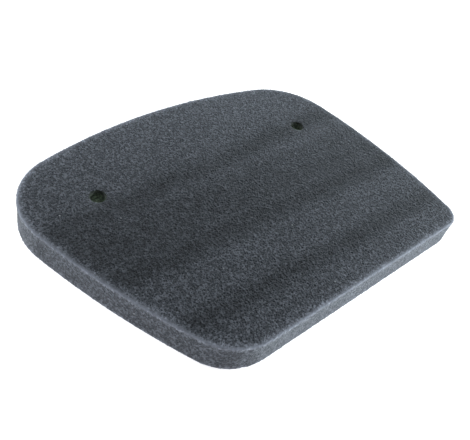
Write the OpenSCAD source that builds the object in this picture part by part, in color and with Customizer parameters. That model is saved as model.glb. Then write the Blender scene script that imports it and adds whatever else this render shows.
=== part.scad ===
// Flat foam filter element for the air box of a small engine.
// It lies on Z = 0, with its straight front edge towards -Y and its bowed back edge towards +Y.
// The origin is the middle of the outline's bounding box, halfway between the peg holes.

/* [Outline] */
// Width, from the left shoulder to the crown of the right side
pad_w = 204; // [165:1:260]
// Depth, from the straight front edge to the crown of the back edge
pad_d = 147; // [120:1:190]
// Thickness of the foam sheet that the element is cut from
pad_t = 15; // [5:0.5:40]
// How far the front left corner is set in from the left shoulder
front_left_setback = 26; // [10:1:60]

/* [Bowed sides] */
// Radius of the back edge
back_bow_r = 305; // [200:5:800]
// Distance of the back edge's crown to the right of the middle
back_crown_x = 11; // [-20:1:30]
// Radius of the right side
right_bow_r = 315; // [200:5:800]
// Distance of the right side's crown from the front edge
right_crown_y = 60; // [45:1:80]
// Radius of the left side
left_bow_r = 400; // [250:5:1000]

/* [Corner radii] */
// Left shoulder, between the back edge and the left side
shoulder_r = 34; // [10:1:42]
// Back right corner
back_right_r = 38; // [10:1:46]
// Front right corner, the tight one
front_right_r = 12; // [4:1:30]
// Front left corner
front_left_r = 27; // [5:1:35]

/* [Peg holes] */
// Diameter of both locating holes
peg_hole_d = 7.5; // [4:0.1:14]
// Distance between the two hole centres
peg_spacing = 134; // [90:0.5:145]
// Distance of the hole centres from the front edge
peg_line_y = 101.5; // [60:0.5:115]

/* [Hidden] */
$fn = 240;
foam_colour = [0.27, 0.29, 0.31];
hole_overcut = 1; // how far a hole's cutter passes each face
wedge_reach = 20; // how far a side's wedge passes its corner circles, more than any bow stands out
tuck = 0.001; // how far a bowed side lies inside its corner circles, so that the edges cross cleanly

back_y = pad_d / 2;
right_x = pad_w / 2;
front_y = -back_y;
left_x = -right_x;

function unit(v) = v / norm(v);

// Of the two points that lie start_r from start and end_r from end, the one to the left of that line
function meet(start, start_r, end, end_r) =
    let (gap = norm(end - start),
         u = unit(end - start),
         along = (gap * gap + start_r * start_r - end_r * end_r) / (2 * gap),
         across = sqrt(start_r * start_r - along * along))
    start + along * u + across * [-u[1], u[0]];

// The far leg of a right triangle
function leg(long_side, near_leg) = sqrt(long_side * long_side - near_leg * near_leg);

// Centres that the back edge and the right side bow about
back_centre = [back_crown_x, back_y - back_bow_r];
right_centre = [right_x - right_bow_r, front_y + right_crown_y];

// Centres of the corner circles, each touching its two sides from inside
shoulder_x = left_x + shoulder_r;
shoulder_y = back_centre[1] + leg(back_bow_r - shoulder_r, shoulder_x - back_centre[0]);
shoulder = [shoulder_x, shoulder_y];
front_left = [left_x + front_left_setback + front_left_r, front_y + front_left_r];
front_right_y = front_y + front_right_r;
front_right_x = right_centre[0] + leg(right_bow_r - front_right_r, front_right_y - right_centre[1]);
front_right = [front_right_x, front_right_y];
back_right = meet(right_centre, right_bow_r - back_right_r, back_centre, back_bow_r - back_right_r);

// Centre that the left side bows about
left_centre = meet(shoulder, left_bow_r - shoulder_r, front_left, left_bow_r - front_left_r);

module disc(centre, r) {
    translate(centre)
        circle(r);
}

// Area between two corner centres and the bowed side that their circles touch
module bowed_side(centre, r, first, last) {
    intersection() {
        disc(centre, r - tuck);
        polygon([
            first,
            centre + (r + wedge_reach) * unit(first - centre),
            centre + (r + wedge_reach) * unit(last - centre),
            last
        ]);
    }
}

module outline() {
    polygon([front_left, front_right, back_right, shoulder]);
    polygon([[front_left[0], front_y], [front_right[0], front_y], front_right, front_left]);
    bowed_side(right_centre, right_bow_r, front_right, back_right);
    bowed_side(back_centre, back_bow_r, back_right, shoulder);
    bowed_side(left_centre, left_bow_r, shoulder, front_left);
    disc(front_left, front_left_r);
    disc(front_right, front_right_r);
    disc(back_right, back_right_r);
    disc(shoulder, shoulder_r);
}

module peg_hole(x) {
    translate([x, front_y + peg_line_y, -hole_overcut])
        cylinder(h = pad_t + 2 * hole_overcut, d = peg_hole_d);
}

module foam_element() {
    color(foam_colour)
    difference() {
        linear_extrude(pad_t)
            outline();
        for (side = [-1, 1])
            peg_hole(side * peg_spacing / 2);
    }
}

foam_element();
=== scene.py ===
import math

import bpy
import numpy as np
from mathutils import Matrix, Vector


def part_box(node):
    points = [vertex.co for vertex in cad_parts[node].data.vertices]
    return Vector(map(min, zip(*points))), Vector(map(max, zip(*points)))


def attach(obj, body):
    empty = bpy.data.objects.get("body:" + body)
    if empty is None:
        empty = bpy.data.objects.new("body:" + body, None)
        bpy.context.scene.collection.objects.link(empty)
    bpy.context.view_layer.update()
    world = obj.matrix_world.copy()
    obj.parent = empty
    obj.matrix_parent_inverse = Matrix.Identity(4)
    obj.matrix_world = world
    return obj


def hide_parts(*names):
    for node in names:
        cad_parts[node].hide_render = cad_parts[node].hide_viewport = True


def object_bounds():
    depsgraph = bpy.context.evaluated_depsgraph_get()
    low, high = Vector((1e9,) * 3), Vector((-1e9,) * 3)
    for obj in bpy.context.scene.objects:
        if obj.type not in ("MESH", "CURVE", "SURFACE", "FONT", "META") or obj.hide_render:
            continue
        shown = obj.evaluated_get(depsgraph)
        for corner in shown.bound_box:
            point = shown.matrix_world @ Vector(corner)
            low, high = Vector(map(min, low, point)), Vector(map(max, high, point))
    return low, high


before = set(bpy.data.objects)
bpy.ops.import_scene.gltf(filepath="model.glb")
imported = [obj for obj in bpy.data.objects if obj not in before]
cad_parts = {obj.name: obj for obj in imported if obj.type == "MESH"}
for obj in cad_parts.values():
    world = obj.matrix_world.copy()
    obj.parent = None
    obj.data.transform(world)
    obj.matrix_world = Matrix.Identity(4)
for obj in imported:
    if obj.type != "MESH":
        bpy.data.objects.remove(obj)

scene = bpy.context.scene
cadLow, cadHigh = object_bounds()
mm = 0.001


# One value in a node tree, so that node maths reads as an expression.
class nodeValue:
    def __init__(self, bench, socket):
        self.bench = bench
        self.socket = socket

    def maths(self, operation, first, second=0.0):
        return self.bench.add("ShaderNodeMath", {"operation": operation}, {0: first, 1: second}, 0)

    def __add__(self, other):
        return self.maths("ADD", self, other)

    def __radd__(self, other):
        return self.maths("ADD", other, self)

    def __sub__(self, other):
        return self.maths("SUBTRACT", self, other)

    def __rsub__(self, other):
        return self.maths("SUBTRACT", other, self)

    def __mul__(self, other):
        return self.maths("MULTIPLY", self, other)

    def __rmul__(self, other):
        return self.maths("MULTIPLY", other, self)

    def __abs__(self):
        return self.maths("ABSOLUTE", self)

    def fading(self, length):
        # 1 at 0, falling away over about length
        return self.maths("EXPONENT", self * (-1 / length))

    def smooth(self, start, end):
        # 0 at start and 1 at end, eased at both
        return self.bench.add("ShaderNodeMapRange", {"interpolation_type": "SMOOTHSTEP"},
                              {0: self, 1: start, 2: end, 3: 0.0, 4: 1.0}, 0)


# Adds nodes to one tree, of a material, of a mesh modifier or of the world.
class nodeBench:
    def __init__(self, tree):
        self.tree = tree

    def add(self, kind, settings, sockets, output=None):
        node = self.tree.nodes.new(kind)
        for name, setting in settings.items():
            setattr(node, name, setting)
        for name, value in sockets.items():
            if isinstance(value, nodeValue):
                self.tree.links.new(value.socket, node.inputs[name])
            else:
                node.inputs[name].default_value = value
        return node if output is None else nodeValue(self, node.outputs[output])

    def blend(self, share, first, second):
        # a colour between two colours
        return self.add("ShaderNodeMix", {"data_type": "RGBA"}, {0: share, 6: first, 7: second}, 2)

    def vector(self, operation, first, second=(0, 0, 0), third=(0, 0, 0)):
        return self.add("ShaderNodeVectorMath", {"operation": operation},
                        {0: first, 1: second, 2: third}, 0)

    def noise(self, place, size, detail=1.0, output="Fac"):
        # soft lumps about size across, in metres
        return self.add("ShaderNodeTexNoise", {},
                        {"Vector": place, "Scale": 1 / size, "Detail": detail}, output)


cameraSettings = {
    "aimX": -18.8 * mm,      # where the view's axis meets the top face
    "aimY": -14.6 * mm,
    "distance": 267.7 * mm,
    "heading": 52.53,        # degrees from +Y towards +X
    "elevation": 43.32,      # how far the view looks down
    "roll": 17.5,
    "lens": 43.35,
    "sensorWidth": 36,
}


def makeCamera(s):
    heading, elevation, roll = (math.radians(s[k]) for k in ("heading", "elevation", "roll"))
    forward = Vector((math.sin(heading) * math.cos(elevation),
                      math.cos(heading) * math.cos(elevation), -math.sin(elevation)))
    level = Vector((math.cos(heading), -math.sin(heading), 0))
    rise = level.cross(forward)
    right = math.cos(roll) * level + math.sin(roll) * rise
    up = math.cos(roll) * rise - math.sin(roll) * level
    data = bpy.data.cameras.new("studioCamera")
    data.lens = s["lens"]
    data.sensor_width = s["sensorWidth"]
    camera = bpy.data.objects.new("studioCamera", data)
    place = Vector((s["aimX"], s["aimY"], cadHigh.z)) - s["distance"] * forward
    turn = Matrix((right, up, -forward)).transposed()
    camera.matrix_world = Matrix.Translation(place) @ turn.to_4x4()
    scene.collection.objects.link(camera)
    scene.camera = camera


makeCamera(cameraSettings)
print("camera placed")


studioSettings = {
    "tableSize": 8.0,
    "tableColour": (0.93, 0.93, 0.93, 1),
    "tableRoughness": 0.9,
    "tableSpecular": 0.1,
    "tableGlow": 0.8,        # the white table is lit from below as well
    "skyHorizon": (1.87, 1.87, 1.87, 1),
    "skyTop": (0.04, 0.04, 0.04, 1),
    "skyFade": 0.5,          # the sine of the height angle where the bright horizon has gone dark
    "skyStrength": 1.0,
    # each soft lamp's direction round from +X, height angle, distance, width, watts and colour
    "lamps": {
        "rightLamp": (328, 18, 0.8, 0.4, 8.4, (0.93, 1.0, 1.0)),
        "leftLamp": (120, 18, 0.8, 0.4, 5.4, (0.96, 1.0, 1.0)),
    },
}


def makeStudio(s):
    half = s["tableSize"] / 2
    mesh = bpy.data.meshes.new("table")
    mesh.from_pydata([(-half, -half, 0), (half, -half, 0), (half, half, 0), (-half, half, 0)],
                     [], [(0, 1, 2, 3)])
    table = bpy.data.objects.new("table", mesh)
    scene.collection.objects.link(table)
    material = bpy.data.materials.new("whiteTable")
    material.use_nodes = True
    shader = material.node_tree.nodes["Principled BSDF"]
    shader.inputs["Base Color"].default_value = s["tableColour"]
    shader.inputs["Roughness"].default_value = s["tableRoughness"]
    shader.inputs["Specular IOR Level"].default_value = s["tableSpecular"]
    shader.inputs["Emission Color"].default_value = (1, 1, 1, 1)
    shader.inputs["Emission Strength"].default_value = s["tableGlow"]
    mesh.materials.append(material)

    world = bpy.data.worlds.new("softRoom")
    world.use_nodes = True
    scene.world = world
    bench = nodeBench(world.node_tree)
    bench.tree.nodes.clear()
    way = bench.add("ShaderNodeTexCoord", {}, {}, "Generated")
    height = bench.add("ShaderNodeSeparateXYZ", {}, {0: way}, "Z")
    sky = bench.blend(height.smooth(0.0, s["skyFade"]), s["skyHorizon"], s["skyTop"])
    light = bench.add("ShaderNodeBackground", {}, {"Color": sky, "Strength": s["skyStrength"]}, 0)
    bench.add("ShaderNodeOutputWorld", {}, {"Surface": light})

    for name, (turn, rise, distance, width, watts, colour) in s["lamps"].items():
        lamp = bpy.data.lights.new(name, "AREA")
        lamp.shape = "DISK"
        lamp.size = width
        lamp.energy = watts
        lamp.color = colour
        holder = bpy.data.objects.new(name, lamp)
        turn, rise = math.radians(turn), math.radians(rise)
        away = Vector((math.cos(turn) * math.cos(rise), math.sin(turn) * math.cos(rise), math.sin(rise)))
        facing = away.to_track_quat("Z", "Y").to_matrix().to_4x4()
        holder.matrix_world = Matrix.Translation(away * distance) @ facing
        scene.collection.objects.link(holder)


makeStudio(studioSettings)
scene.view_settings.view_transform = "Standard"
print("table and light ready")


padSettings = {
    "faceSize": 0.42 * mm,       # of the fine skin's faces
    "edgeRadius": 0.7 * mm,      # how far the top's cut edge is rounded over
    "footRadius": 0.45 * mm,     # the same at the underside's edge
    "holeRadius": 0.35 * mm,     # and at the peg holes
    "waist": 0.25 * mm,          # how far the die leaves the side walls drawn in, half way up
    "pinch": 0.2 * mm,           # how far the die leaves the top face drawn down beside the cut
    "pinchReach": 2.0 * mm,      # how far in from the cut that fades
    "pressFade": 8,              # how fast the pinch and the marks die out below the top face
    "creaseTurn": 248,           # the outward direction where the die's crease runs down the wall
    "creaseWidth": 2.2,          # both in degrees, the turn counted from +X
    "creaseDepth": 0.25 * mm,
    "markDepth": 0.15 * mm,      # of the shallow marks that the sheet's rollers leave
    "cellSize": 0.95 * mm,
    "cellWarp": 0.5 * mm,        # how far the cells are pushed about
    "warpSpan": 4,               # and how many cells are pushed together
    "strandEdge": 0.03,          # from a cell's border: where its strand starts to fall away
    "cellEdge": 0.3,             # and where the cell is open, both in cell sizes
    "cellDepth": 0.28 * mm,
    "shallowCell": 0.45,         # the share of that depth which the shallowest cells have
    "edgeFill": 0.7,             # how much shallower the cells are at a cut edge
    "wallFill": 0.5,             # and on the cut walls
    "fill": 0.9,                 # foam keeps its cut shape, so it is full
    "swell": 0.1 * mm,           # how far the strands between open cells stand proud
    "bristle": 0.3 * mm,         # how far the odd strand stands out of the skin
    "edgeBristle": 0.12 * mm,    # and how much further it does along a cut edge
    "edgeReach": 1.3 * mm,       # how far from the edge the bristles and the filling fade
    # each shallow dent across the sheet: its middle's Y at X = 0, slope, half width and darkness; the
    # darkness sinks the dent and also paints its shade into the colour
    "dentsAndPaintedShade": [
        (23 * mm, 0.08, 12 * mm, 0.5),
        # this negative one paints the back of the top paler: painted light
        (61 * mm, 0.0, 30 * mm, -0.2),
        (8 * mm, 0.02, 9 * mm, 0.34),
        (-2 * mm, 0.0, 11 * mm, 0.44),
        (-12 * mm, 0.0, 10 * mm, 0.34),
        (-20.5 * mm, 0.0, 10 * mm, 0.5),
        (-36 * mm, 0.0, 13 * mm, 0.06),
        (-52 * mm, 0.0, 10 * mm, 0.5),
    ],
}


def pointsOf(mesh):
    found = np.empty(len(mesh.vertices) * 3)
    mesh.vertices.foreach_get("co", found)
    return found.reshape(-1, 3)


def evenSkin(node, faceSize):
    # the node's own shape in small even faces
    draft = bpy.data.objects.new("draft", node.data.copy())
    scene.collection.objects.link(draft)
    remesh = draft.modifiers.new("evenFaces", "REMESH")
    remesh.mode = "VOXEL"
    remesh.voxel_size = faceSize
    mesh = bpy.data.meshes.new_from_object(draft.evaluated_get(bpy.context.evaluated_depsgraph_get()))
    bpy.data.objects.remove(draft)
    return mesh


def topLoops(node, top):
    # the closed lines round the top face, longest first; foam lies to the left of each
    mesh = node.data
    perMetre = 1e6      # corners are matched in whole micrometres
    keys = [tuple(round(c * perMetre) for c in v.co) for v in mesh.vertices]
    level = round(top * perMetre)
    follows = {}
    for face in mesh.polygons:
        if abs(face.normal.z) > 0.5:      # the top and the underside
            continue
        ring = [keys[i] for i in face.vertices]
        for start, end in zip(ring, ring[1:] + ring[:1]):
            if start[2] == level and end[2] == level and start != end:
                follows[end[:2]] = start[:2]      # a wall face runs the other way along its top
    loops = []
    while follows:
        loop = [next(iter(follows))]
        while loop[-1] in follows:
            loop.append(follows.pop(loop[-1]))
        loops.append(np.array(loop[:-1]) / perMetre)
    return sorted(loops, key=len, reverse=True)


def alongLoop(points, loop):
    # for each point: how far it is from the line, how far round it lies, its foot and the way in
    steps = np.roll(loop, -1, axis=0) - loop
    lengths = np.hypot(steps[:, 0], steps[:, 1])
    before = np.cumsum(lengths) - lengths
    inward = np.stack([-steps[:, 1], steps[:, 0]], 1) / lengths[:, None]
    corner = inward + np.roll(inward, 1, axis=0)
    corner /= np.hypot(corner[:, 0], corner[:, 1])[:, None]
    after = np.roll(corner, -1, axis=0)
    gap, place = np.empty(len(points)), np.empty(len(points))
    foot, way = np.empty(points.shape), np.empty(points.shape)
    atOnce = 20000      # points in one batch, to save memory
    for part in np.array_split(np.arange(len(points)), len(points) // atOnce + 1):
        offset = points[part, None] - loop
        share = ((offset * steps).sum(2) / lengths**2).clip(0, 1)
        away = offset - share[..., None] * steps
        far = np.hypot(away[..., 0], away[..., 1])
        best = far.argmin(1)
        row = np.arange(len(part))
        nearest = share[row, best]
        gap[part] = far[row, best]
        place[part] = before[best] + nearest * lengths[best]
        foot[part] = loop[best] + nearest[:, None] * steps[best]
        turn = corner[best] + nearest[:, None] * (after[best] - corner[best])
        way[part] = turn / np.hypot(turn[:, 0], turn[:, 1])[:, None]
    return gap, place, foot, way


def addAttribute(mesh, name, kind, values):
    field = "vector" if kind == "FLOAT_VECTOR" else "value"
    mesh.attributes.new(name, kind, "POINT").data.foreach_set(field, values.astype(np.float32).ravel())


def roundedPlaces(points, rim, foot, way, low, high, radius):
    # moves each point onto the pad's true surface, with its cut edges rounded over
    height = points[:, 2] - low
    depth = high - points[:, 2]
    nearTop = depth < height
    drop = np.where(nearTop, depth, height)
    onEdge = (rim < radius) & (drop < radius)
    tiny = 1e-9         # keeps the division below safe away from the edge
    inRim = (radius - rim).clip(tiny)
    inDrop = (radius - drop).clip(tiny)
    scale = radius / np.hypot(inRim, inDrop)
    onWall = ~onEdge & (rim < drop)
    newRim = np.where(onEdge, radius - inRim * scale, np.where(onWall, 0, rim))
    newDrop = np.where(onEdge, radius - inDrop * scale, np.where(onWall, drop, 0))
    places = points.copy()
    close = (onEdge | onWall)[:, None]
    places[:, :2] = np.where(close, foot + way * newRim[:, None], points[:, :2])
    places[:, 2] = np.where(nearTop, high - newDrop, low + newDrop)
    return places, newRim, newDrop


# the skin laid out flat at its real size, and then shrunk to the unit square
mapSettings = {
    "square": 304 * mm,          # the side of the whole layout
    "border": 1.5 * mm,
    "faceGap": 2 * mm,           # between the underside and the top face
    "stripLength": 290 * mm,     # the outer wall is cut into strips of this length
    "stripGap": 3 * mm,          # between the faces and the first strip
    "stripPitch": 21 * mm,
    "stripMargin": 2 * mm,       # before each strip, for the rounded edge's share of it
    "holeStrip": 3,              # the peg holes' walls lie in this strip
    "holePitch": 30 * mm,        # each this far along from the last
}


# Lays the skin out flat for the bake: both faces side by side, then the walls in strips.
def addBakeMap(mesh, s, places, around, rim, which, sideWall, loops):
    total = len(mesh.loops)
    vertexOf = np.empty(total, np.int32)
    mesh.loops.foreach_get("vertex_index", vertexOf)
    starts = np.empty(len(mesh.polygons), np.int32)
    mesh.polygons.foreach_get("loop_start", starts)
    faceOf = np.searchsorted(starts, np.arange(total), side="right") - 1
    sides = np.bincount(faceOf)
    wallFace = (np.bincount(faceOf, sideWall[vertexOf]) / sides > 0.5)[faceOf]
    topFace = (np.bincount(faceOf, places[vertexOf, 2]) / sides > places[:, 2].mean())[faceOf]
    corner = places[vertexOf]
    low = places.min(0)
    across = corner[:, 1] - low[1] + np.where(topFace, 0, np.ptp(places[:, 1]) + s["faceGap"])
    along = corner[:, 0] - low[0]

    # a face at a loop's start is laid out beside its own first corner
    first = vertexOf[starts[faceOf]]
    loopOf = which[first]
    lengths = [np.hypot(*(np.roll(loop, -1, axis=0) - loop).T).sum() for loop in loops]
    wholeWay = np.array(lengths)[loopOf]
    step = around[vertexOf] - around[first]
    step -= wholeWay * np.round(step / wholeWay)
    inHole = loopOf > 0
    strip = np.where(inHole, s["holeStrip"], np.floor(around[first] / s["stripLength"]))
    begin = np.where(inHole, -s["holePitch"] * (loopOf - 1), strip * s["stripLength"])
    stripAlong = around[first] + step - begin
    upper = corner[:, 2] > places[:, 2].mean()
    overEdge = np.where(upper, rim[vertexOf], -rim[vertexOf])
    stripAcross = corner[:, 2] - low[2] + overEdge + s["stripMargin"]
    stripAcross += np.ptp(places[:, 0]) + s["stripGap"] + strip * s["stripPitch"]
    spot = np.stack([np.where(wallFace, stripAlong, across), np.where(wallFace, stripAcross, along)], 1)
    spot = (spot + s["border"]) / s["square"]
    mesh.uv_layers.new(name="OFBake").data.foreach_set("uv", spot.astype(np.float32).ravel())


def openCells(bench, place, s):
    # 1 in the middle of an open cell, 0 on the strands between cells, and one random tone a cell
    lean = bench.noise(place, s["warpSpan"] * s["cellSize"], output="Color")
    shift = bench.vector("MULTIPLY_ADD", lean, (s["cellWarp"],) * 3, place)
    scale = 1 / s["cellSize"]
    edge = bench.add("ShaderNodeTexVoronoi", {"feature": "DISTANCE_TO_EDGE"},
                     {"Vector": shift, "Scale": scale}, "Distance")
    middle = bench.add("ShaderNodeTexVoronoi", {"feature": "F1"},
                       {"Vector": shift, "Scale": scale}, "Position")
    tone = bench.add("ShaderNodeTexWhiteNoise", {}, {"Vector": middle}, "Value")
    return edge.smooth(s["strandEdge"], s["cellEdge"]), tone


def sinkCells(pad, s):
    # opens the cells of the foam into the skin
    tree = bpy.data.node_groups.new("openCells", "GeometryNodeTree")
    tree.interface.new_socket(name="Geometry", in_out="INPUT", socket_type="NodeSocketGeometry")
    tree.interface.new_socket(name="Geometry", in_out="OUTPUT", socket_type="NodeSocketGeometry")
    bench = nodeBench(tree)
    skin = bench.add("NodeGroupInput", {}, {}, 0)
    place = bench.add("GeometryNodeInputPosition", {}, {}, 0)
    normal = bench.add("GeometryNodeInputNormal", {}, {}, 0)
    opened, tone = openCells(bench, place, s)
    odd = bench.add("ShaderNodeTexWhiteNoise", {}, {"Vector": place}, "Value")
    edgeGap = bench.add("GeometryNodeInputNamedAttribute", {"data_type": "FLOAT"}, {0: "edgeGap"}, 0)
    pegHole = bench.add("GeometryNodeInputNamedAttribute", {"data_type": "FLOAT"}, {0: "pegHole"}, 0)
    sideWall = bench.add("GeometryNodeInputNamedAttribute", {"data_type": "FLOAT"}, {0: "sideWall"}, 0)
    height = bench.add("ShaderNodeSeparateXYZ", {}, {0: place}, "Z") - cadLow.z
    edge = edgeGap.smooth(s["edgeReach"], 0.0)
    stands = (odd * odd * odd) * (edge * s["edgeBristle"] + (1 - opened) * s["bristle"])
    proud = (s["swell"] + stands) * (1 - pegHole) * height.smooth(0.0, s["footRadius"])
    share = s["shallowCell"] + (1 - s["shallowCell"]) * tone
    sunk = share * (1 - edge * s["edgeFill"]) * (1 - sideWall * s["wallFill"]) * s["cellDepth"]
    lift = proud - opened * sunk
    outward = bench.add("ShaderNodeVectorMath", {"operation": "SCALE"}, {0: normal, "Scale": lift}, 0)
    moved = bench.add("GeometryNodeSetPosition", {}, {"Geometry": skin, "Offset": outward}, 0)
    bench.add("NodeGroupOutput", {}, {0: moved})
    modifier = pad.modifiers.new("openCells", "NODES")
    modifier.node_group = tree
    rough = bpy.data.meshes.new_from_object(pad.evaluated_get(bpy.context.evaluated_depsgraph_get()))
    pad.modifiers.remove(modifier)
    pad.data = rough


def makePad(s):
    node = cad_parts["foam_element"]
    low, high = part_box("foam_element")
    mesh = evenSkin(node, s["faceSize"])
    points = pointsOf(mesh)
    loops = topLoops(node, high.z)      # the outline first, then the peg holes
    found = [alongLoop(points[:, :2], loop) for loop in loops]
    which = np.argmin([f[0] for f in found], axis=0)
    row = np.arange(len(points))
    rim, around, foot, way = (np.stack(parts)[which, row] for parts in zip(*found))
    upper = points[:, 2] > (low.z + high.z) / 2
    radius = np.where(which > 0, s["holeRadius"], np.where(upper, s["edgeRadius"], s["footRadius"]))
    places, rim, drop = roundedPlaces(points, rim, foot, way, low.z, high.z, radius)
    rise = (places[:, 2] - low.z) / (high.z - low.z)

    addBakeMap(mesh, mapSettings, places, around, rim, which, drop > rim, loops)

    # the die's waist and crease on the walls, its pinch beside the cut, and the rollers' marks on top
    turn = np.degrees(np.arctan2(-way[:, 1], -way[:, 0])) % 360
    onWall = (rim < radius) & (which == 0)
    crease = np.exp(-(((turn - s["creaseTurn"]) / s["creaseWidth"]) ** 2)) * onWall
    waist = s["waist"] * np.sin(np.pi * rise) * onWall + s["creaseDepth"] * crease
    places[:, :2] += way * waist[:, None]
    pinch = s["pinch"] * np.exp(-rim / s["pinchReach"])
    marks = sum(depth * np.exp(-(((points[:, 1] - y - slope * points[:, 0]) / half) ** 2))
                for y, slope, half, depth in s["dentsAndPaintedShade"])
    places[:, 2] -= np.where(upper, rise, 0) ** s["pressFade"] * (pinch + s["markDepth"] * marks)
    mesh.vertices.foreach_set("co", places.ravel())
    mesh.update()

    addAttribute(mesh, "restPlace", "FLOAT_VECTOR", places)
    # the way to the outline's cut edge, less what the rounding takes off
    edgeGap = np.hypot(np.where(which > 0, found[0][0], rim), drop)
    addAttribute(mesh, "edgeGap", "FLOAT", (edgeGap - (math.sqrt(2) - 1) * radius).clip(0))
    addAttribute(mesh, "sideWall", "FLOAT", drop > rim)
    addAttribute(mesh, "pegHole", "FLOAT", (which > 0) & (rim < radius))
    addAttribute(mesh, "dieCrease", "FLOAT", crease)
    pad = bpy.data.objects.new("foamPad", mesh)
    scene.collection.objects.link(pad)
    sinkCells(pad, s)
    pad.data.name = "foamPad"
    pad.data.shade_smooth()
    print("foam pad meshed,", len(pad.data.polygons), "faces")
    return pad


pad = makePad(padSettings)
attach(pad, "root")
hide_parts("foam_element")


foamSettings = {
    "strand": (0.133, 0.145, 0.175, 1),
    # the open cells' colour: their dark is painted shade in the pores
    "cell": (0.021, 0.0228, 0.0275, 1),
    "openShade": 0.8,            # how much of a strand's light an open cell loses, as painted shade in the pore
    "wallOpenShade": 0.4,        # and how much less it loses on a cut wall
    "plainStrand": 0.24,         # the share of the strand colour that every strand has
    "clumpSize": 1.05 * mm,      # the strands are paler in small clumps
    "clumpEdge": (0.3, 0.8),     # the noise where a clump starts and where it is whole
    "glintCell": 1.5,           # how much paler the painted glint makes the odd cell
    "glintFrom": 0.75,          # only the cells with a tone above this do
    "patch": (18 * mm, 0.3),     # size and strength of the broad soft patches
    "mottle": (3.5 * mm, 0.25),  # and of the fine ones
    "wander": (30 * mm, 5 * mm),  # and of the marks' wandering
    "wallLift": -0.05,           # how much paler than the top the cut walls are
    "edgeHighlight": 2.9,             # how much paler the painted highlight makes the cut edges, on the top face
    "edgeHighlightReach": 1.25 * mm,
    "wallEdgeHighlight": 0.85,        # the share of that on the wall's side of the edge
    "wallEdgeHighlightReach": 0.6 * mm,
    "edgeHighlightEven": 0.45,             # the even share of the strand colour that the painted edge highlight comes to
    "edgeHighlightPatch": (1.5 * mm, 0.8, 0.4),      # size, least and range of the painted edge highlight's unevenness
    "creaseHighlight": 0.55,          # how much paler the painted highlight along the crease is
    "holeMouthShade": 0.12,           # the painted shade at the mouths of the peg holes
    "holeDeepLight": 4.0,             # how much paler the painted light makes them deep down
    "holeReach": 6 * mm,
    "holeTint": (1.15, 1.3, 0.85),
    # painted glints: pale specks where a strand catches the light
    "glintFleck": (0.4, 0.42, 0.45, 1),
    "glintFleckGap": 9 * mm,          # about how far apart the painted glints lie
    "glintFleckSize": (0.05, 0.025),  # their outer and inner radius as shares of that
    "glintFleckShare": 0.7,
    "grainSize": 0.3 * mm,
    "bump": 0.5,
    "bumpDepth": 0.15 * mm,
    "cellBump": 0.8,             # the open cells' share in the bump, beside the grain's
    "specular": 0.15,
    "roughness": 0.9,
    "sheen": 0.35,
    "sheenRoughness": 0.45,
    "sheenTint": (0.75, 0.82, 0.9, 1),
}


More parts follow.
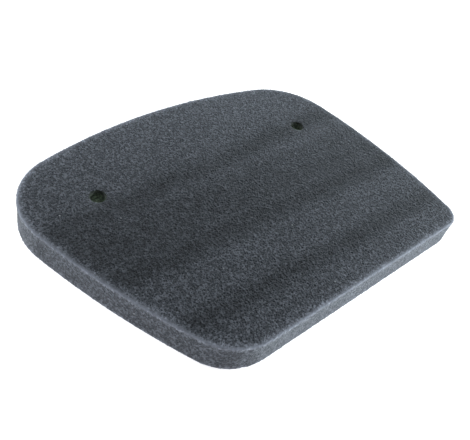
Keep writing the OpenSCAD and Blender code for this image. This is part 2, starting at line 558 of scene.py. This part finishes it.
def finishFoam(pad, s, skin):
    # charcoal foam, with the same cells and marks as the skin
    material = bpy.data.materials.new("charcoalFoam")
    material.use_nodes = True
    bench = nodeBench(material.node_tree)
    bench.tree.nodes.clear()
    place = bench.add("ShaderNodeAttribute", {"attribute_name": "restPlace"}, {}, "Vector")
    edgeGap = bench.add("ShaderNodeAttribute", {"attribute_name": "edgeGap"}, {}, "Fac")
    sideWall = bench.add("ShaderNodeAttribute", {"attribute_name": "sideWall"}, {}, "Fac")
    pegHole = bench.add("ShaderNodeAttribute", {"attribute_name": "pegHole"}, {}, "Fac")
    dieCrease = bench.add("ShaderNodeAttribute", {"attribute_name": "dieCrease"}, {}, "Fac")
    x = bench.add("ShaderNodeSeparateXYZ", {}, {0: place}, "X")
    y = bench.add("ShaderNodeSeparateXYZ", {}, {0: place}, "Y")
    z = bench.add("ShaderNodeSeparateXYZ", {}, {0: place}, "Z")

    def uneven(size, strength, detail=1.0):
        return (bench.noise(place, size, detail) - 0.5) * strength

    # painted shade of the dents runs across the top and wanders a little; the pale band at the back is
    # painted light
    wander = uneven(*s["wander"])
    paintedBandShadeAndLight = 0.0
    for middle, slope, half, depth in skin["dentsAndPaintedShade"]:
        gap = abs(y + wander - x * slope - middle)
        paintedBandShadeAndLight = paintedBandShadeAndLight + gap.smooth(half, 0.0) * depth
    shade = 1 - paintedBandShadeAndLight * (1 - sideWall) + uneven(*s["patch"], detail=2.0)
    shade = shade + uneven(*s["mottle"]) + sideWall * s["wallLift"]

    # pale strands round open cells darkened with painted shade, in the same places as the sunk ones
    opened, tone = openCells(bench, place, skin)
    clump = bench.noise(place, s["clumpSize"]).smooth(*s["clumpEdge"])
    # painted glints: the odd cell's strands painted paler as if catching light
    paintedCellGlint = s["glintCell"] * tone.smooth(s["glintFrom"], 1.0)
    # painted shade in the open cells, weaker on the cut walls
    paintedPoreShade = opened * (s["openShade"] - s["wallOpenShade"] * sideWall)
    lit = (1 - paintedPoreShade) * (s["plainStrand"] + clump * clump + paintedCellGlint)

    # painted highlight: the light gets into a cut edge from both sides, so the edge is painted paler and
    # its cells show less
    paintedWallHighlight = edgeGap.fading(s["wallEdgeHighlightReach"]) * s["wallEdgeHighlight"]
    paintedEdgeHighlight = edgeGap.fading(s["edgeHighlightReach"]) * (1 - sideWall) + paintedWallHighlight * sideWall
    lit = lit + paintedEdgeHighlight.smooth(0.0, 1.0) * (s["edgeHighlightEven"] - lit)
    patchSize, least, spread = s["edgeHighlightPatch"]
    paintedEdgeHighlight = paintedEdgeHighlight * (least + spread * bench.noise(place, patchSize))
    # the painted edge highlight, and a painted highlight along the die's crease
    shade = shade + paintedEdgeHighlight * s["edgeHighlight"] + dieCrease * s["creaseHighlight"]

    # painted shade darkens the peg holes at both mouths, and painted light makes them paler and greener
    # inside
    fromMouth = (cadHigh.z - cadLow.z) / 2 - abs(z - (cadHigh.z + cadLow.z) / 2)
    paintedHoleShadeAndLight = fromMouth.smooth(0.0, s["holeReach"]) * s["holeDeepLight"] + s["holeMouthShade"]
    shade = shade * (1 + pegHole * (paintedHoleShadeAndLight - 1))
    red, green, blue = (shade * (1 + pegHole * (tinge - 1)) for tinge in s["holeTint"])
    tint = bench.add("ShaderNodeCombineXYZ", {}, {0: red, 1: green, 2: blue}, 0)
    colour = bench.vector("MULTIPLY", bench.blend(lit, s["cell"], s["strand"]), tint)

    # a few painted glints, pale specks on the strands
    spot = bench.add("ShaderNodeTexVoronoi", {"feature": "F1"},
                     {"Vector": place, "Scale": 1 / s["glintFleckGap"]}, "Distance")
    glintFleck = spot.smooth(*s["glintFleckSize"])
    colour = bench.blend(glintFleck * s["glintFleckShare"], colour, s["glintFleck"])

    grain = bench.noise(place, s["grainSize"], detail=2.0)
    bump = bench.add("ShaderNodeBump", {}, {
        "Strength": s["bump"], "Distance": s["bumpDepth"],
        "Height": grain - opened * s["cellBump"]}, "Normal")
    shader = bench.add("ShaderNodeBsdfPrincipled", {}, {
        "Base Color": colour, "Roughness": s["roughness"], "Normal": bump,
        "Specular IOR Level": s["specular"], "Sheen Weight": s["sheen"],
        "Sheen Roughness": s["sheenRoughness"], "Sheen Tint": s["sheenTint"]}, 0)
    bench.add("ShaderNodeOutputMaterial", {}, {"Surface": shader})
    pad.data.materials.clear()
    pad.data.materials.append(material)


finishFoam(pad, foamSettings, padSettings)
print("foam finished")
